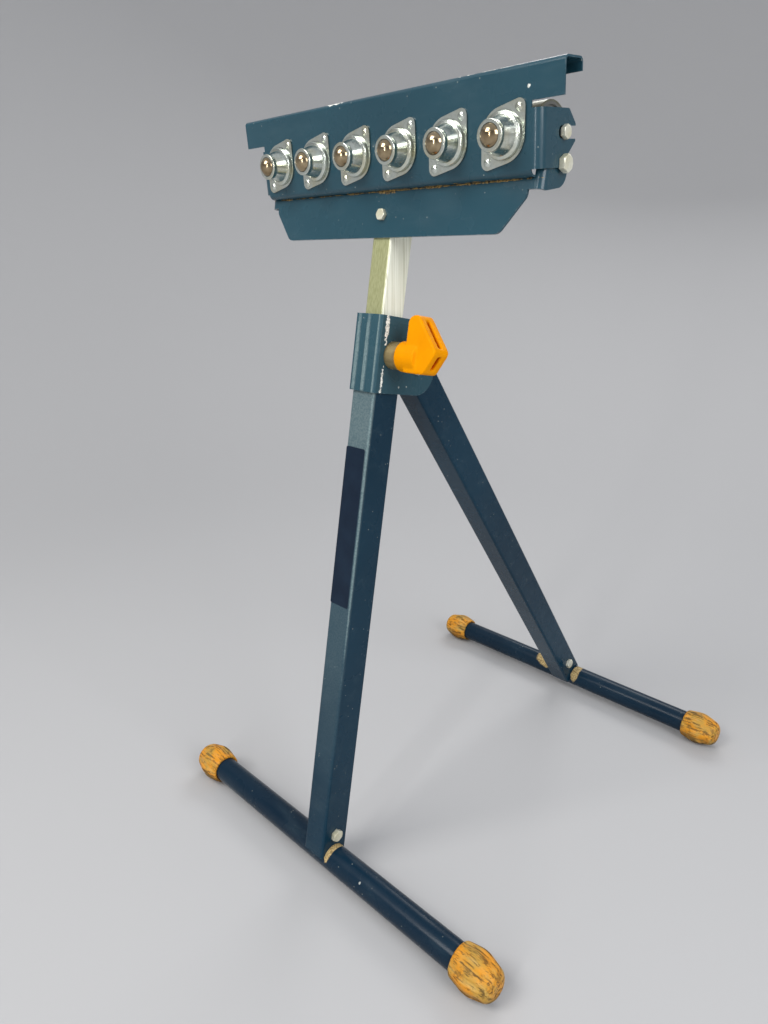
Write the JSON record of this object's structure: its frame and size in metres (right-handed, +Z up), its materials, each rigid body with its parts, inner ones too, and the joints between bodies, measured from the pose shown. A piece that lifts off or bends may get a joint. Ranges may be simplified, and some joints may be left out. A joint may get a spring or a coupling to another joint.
{
  "type": "workpiece support stand",
  "caption": "Folding floor stand for holding up a long workpiece, with a height-adjustable head that offers a roller or a flip-over row of ball transfer units.",
  "frame": {"origin": "on the floor, in the middle of the four foot caps", "axes": "+X along the head, +Y from the front leg to the rear leg, +Z up"},
  "size_m": [0.518, 0.601, 0.8474],
  "materials": {
    "frame_paint": "gloss navy paint with chips",
    "head_paint": "gloss blue-grey paint with chips",
    "foot_plastic": "soiled orange-yellow moulded plastic",
    "bush_plastic": "black moulded plastic",
    "post_zinc": "yellowish zinc plate, brushed",
    "roller_zinc": "dull zinc plate",
    "bright_steel": "turned steel",
    "bolt_zinc": "pale yellowish zinc plate",
    "unit_zinc": "bright zinc plate",
    "seat_plastic": "dark moulded plastic",
    "ball_steel": "used bearing steel with a brassy cast",
    "boss_brass": "dull brown brass",
    "knob_plastic": "bright orange-yellow moulded plastic"
  },
  "bodies": {
    "stand": {"front_foot_tube": "frame_paint", "front_left_foot_cap": "foot_plastic", "front_right_foot_cap": "foot_plastic", "front_foot_stub": "frame_paint", "front_foot_bolt": "bolt_zinc", "front_foot_nut": "bolt_zinc", "front_post": "frame_paint", "post_guide_bush": "bush_plastic", "post_collar": "frame_paint", "leg_bracket": "frame_paint", "lock_boss": "boss_brass", "leg_pivot_bolt": "bolt_zinc", "leg_pivot_nut": "bolt_zinc"},
    "rear_leg": {"rear_foot_tube": "frame_paint", "rear_left_foot_cap": "foot_plastic", "rear_right_foot_cap": "foot_plastic", "rear_foot_stub": "frame_paint", "rear_foot_bolt": "bolt_zinc", "rear_foot_nut": "bolt_zinc", "rear_leg_tube": "frame_paint", "leg_pivot_sleeve": "bright_steel"},
    "head": {"inner_post": "post_zinc", "yoke_bolt": "bolt_zinc", "yoke_nut": "bolt_zinc", "head_yoke": "head_paint", "roller_axle": "bright_steel", "axle_screws": "bolt_zinc", "flip_sleeves": "bright_steel", "clamp_bolts": "bolt_zinc", "clamp_nuts": "bolt_zinc"},
    "roller": {"roller_tube": "roller_zinc", "roller_bearing_left": "bright_steel", "roller_bearing_right": "bright_steel"},
    "ball_plate": {"ball_plate": "head_paint", "ball_rivets": "unit_zinc", "ball_housing_1": "unit_zinc", "ball_housing_2": "unit_zinc", "ball_housing_3": "unit_zinc", "ball_housing_4": "unit_zinc", "ball_housing_5": "unit_zinc", "ball_housing_6": "unit_zinc", "ball_seat_1": "seat_plastic", "ball_seat_2": "seat_plastic", "ball_seat_3": "seat_plastic", "ball_seat_4": "seat_plastic", "ball_seat_5": "seat_plastic", "ball_seat_6": "seat_plastic"},
    "lock_pad": {"clamp_pad": "bush_plastic"},
    "lock_knob": {"lock_screw": "bright_steel", "lock_knob": "knob_plastic"},
    "load_ball_1": {"load_ball_1": "ball_steel"},
    "load_ball_2": {"load_ball_2": "ball_steel"},
    "load_ball_3": {"load_ball_3": "ball_steel"},
    "load_ball_4": {"load_ball_4": "ball_steel"},
    "load_ball_5": {"load_ball_5": "ball_steel"},
    "load_ball_6": {"load_ball_6": "ball_steel"}
  },
  "joints": [
    {"name": "head_height", "type": "slide", "parent": "stand", "child": "head", "axis": [0, 0.1736, 0.9848], "range_m": [-0.065, 0.3]},
    {"name": "rear_leg_fold", "type": "hinge", "parent": "stand", "child": "rear_leg", "pos_m": [0, -0.13817, 0.59144], "axis": [1, 0, 0], "range_deg": [-44, 0]},
    {"name": "roller_spin", "type": "hinge", "parent": "head", "child": "roller", "pos_m": [0, -0.14165, 0.7992], "axis": [1, 0, 0], "continuous": true},
    {"name": "ball_plate_flip", "type": "hinge", "parent": "head", "child": "ball_plate", "pos_m": [0, -0.14165, 0.7992], "axis": [1, 0, 0], "range_deg": [-180, 0]},
    {"name": "lock_pad_travel", "type": "slide", "parent": "stand", "child": "lock_pad", "axis": [1, 0, 0], "range_m": [0, 0.003]},
    {"name": "lock_knob_turn", "type": "hinge", "parent": "lock_pad", "child": "lock_knob", "pos_m": [0, -0.17435, 0.60798], "axis": [1, 0, 0], "range_deg": [0, 720]},
    {"name": "ball_1_roll", "type": "hinge", "parent": "ball_plate", "child": "load_ball_1", "pos_m": [-0.147, -0.19202, 0.7955], "axis": [1, 0, 0], "continuous": true},
    {"name": "ball_2_roll", "type": "hinge", "parent": "ball_plate", "child": "load_ball_2", "pos_m": [-0.0882, -0.19202, 0.7955], "axis": [1, 0, 0], "continuous": true},
    {"name": "ball_3_roll", "type": "hinge", "parent": "ball_plate", "child": "load_ball_3", "pos_m": [-0.0294, -0.19202, 0.7955], "axis": [1, 0, 0], "continuous": true},
    {"name": "ball_4_roll", "type": "hinge", "parent": "ball_plate", "child": "load_ball_4", "pos_m": [0.0294, -0.19202, 0.7955], "axis": [1, 0, 0], "continuous": true},
    {"name": "ball_5_roll", "type": "hinge", "parent": "ball_plate", "child": "load_ball_5", "pos_m": [0.0882, -0.19202, 0.7955], "axis": [1, 0, 0], "continuous": true},
    {"name": "ball_6_roll", "type": "hinge", "parent": "ball_plate", "child": "load_ball_6", "pos_m": [0.147, -0.19202, 0.7955], "axis": [1, 0, 0], "continuous": true}
  ],
  "couplings": [
    {"joint": "lock_pad_travel", "follows": "lock_knob_turn", "m_per_rad": 0.00023873}
  ]
}
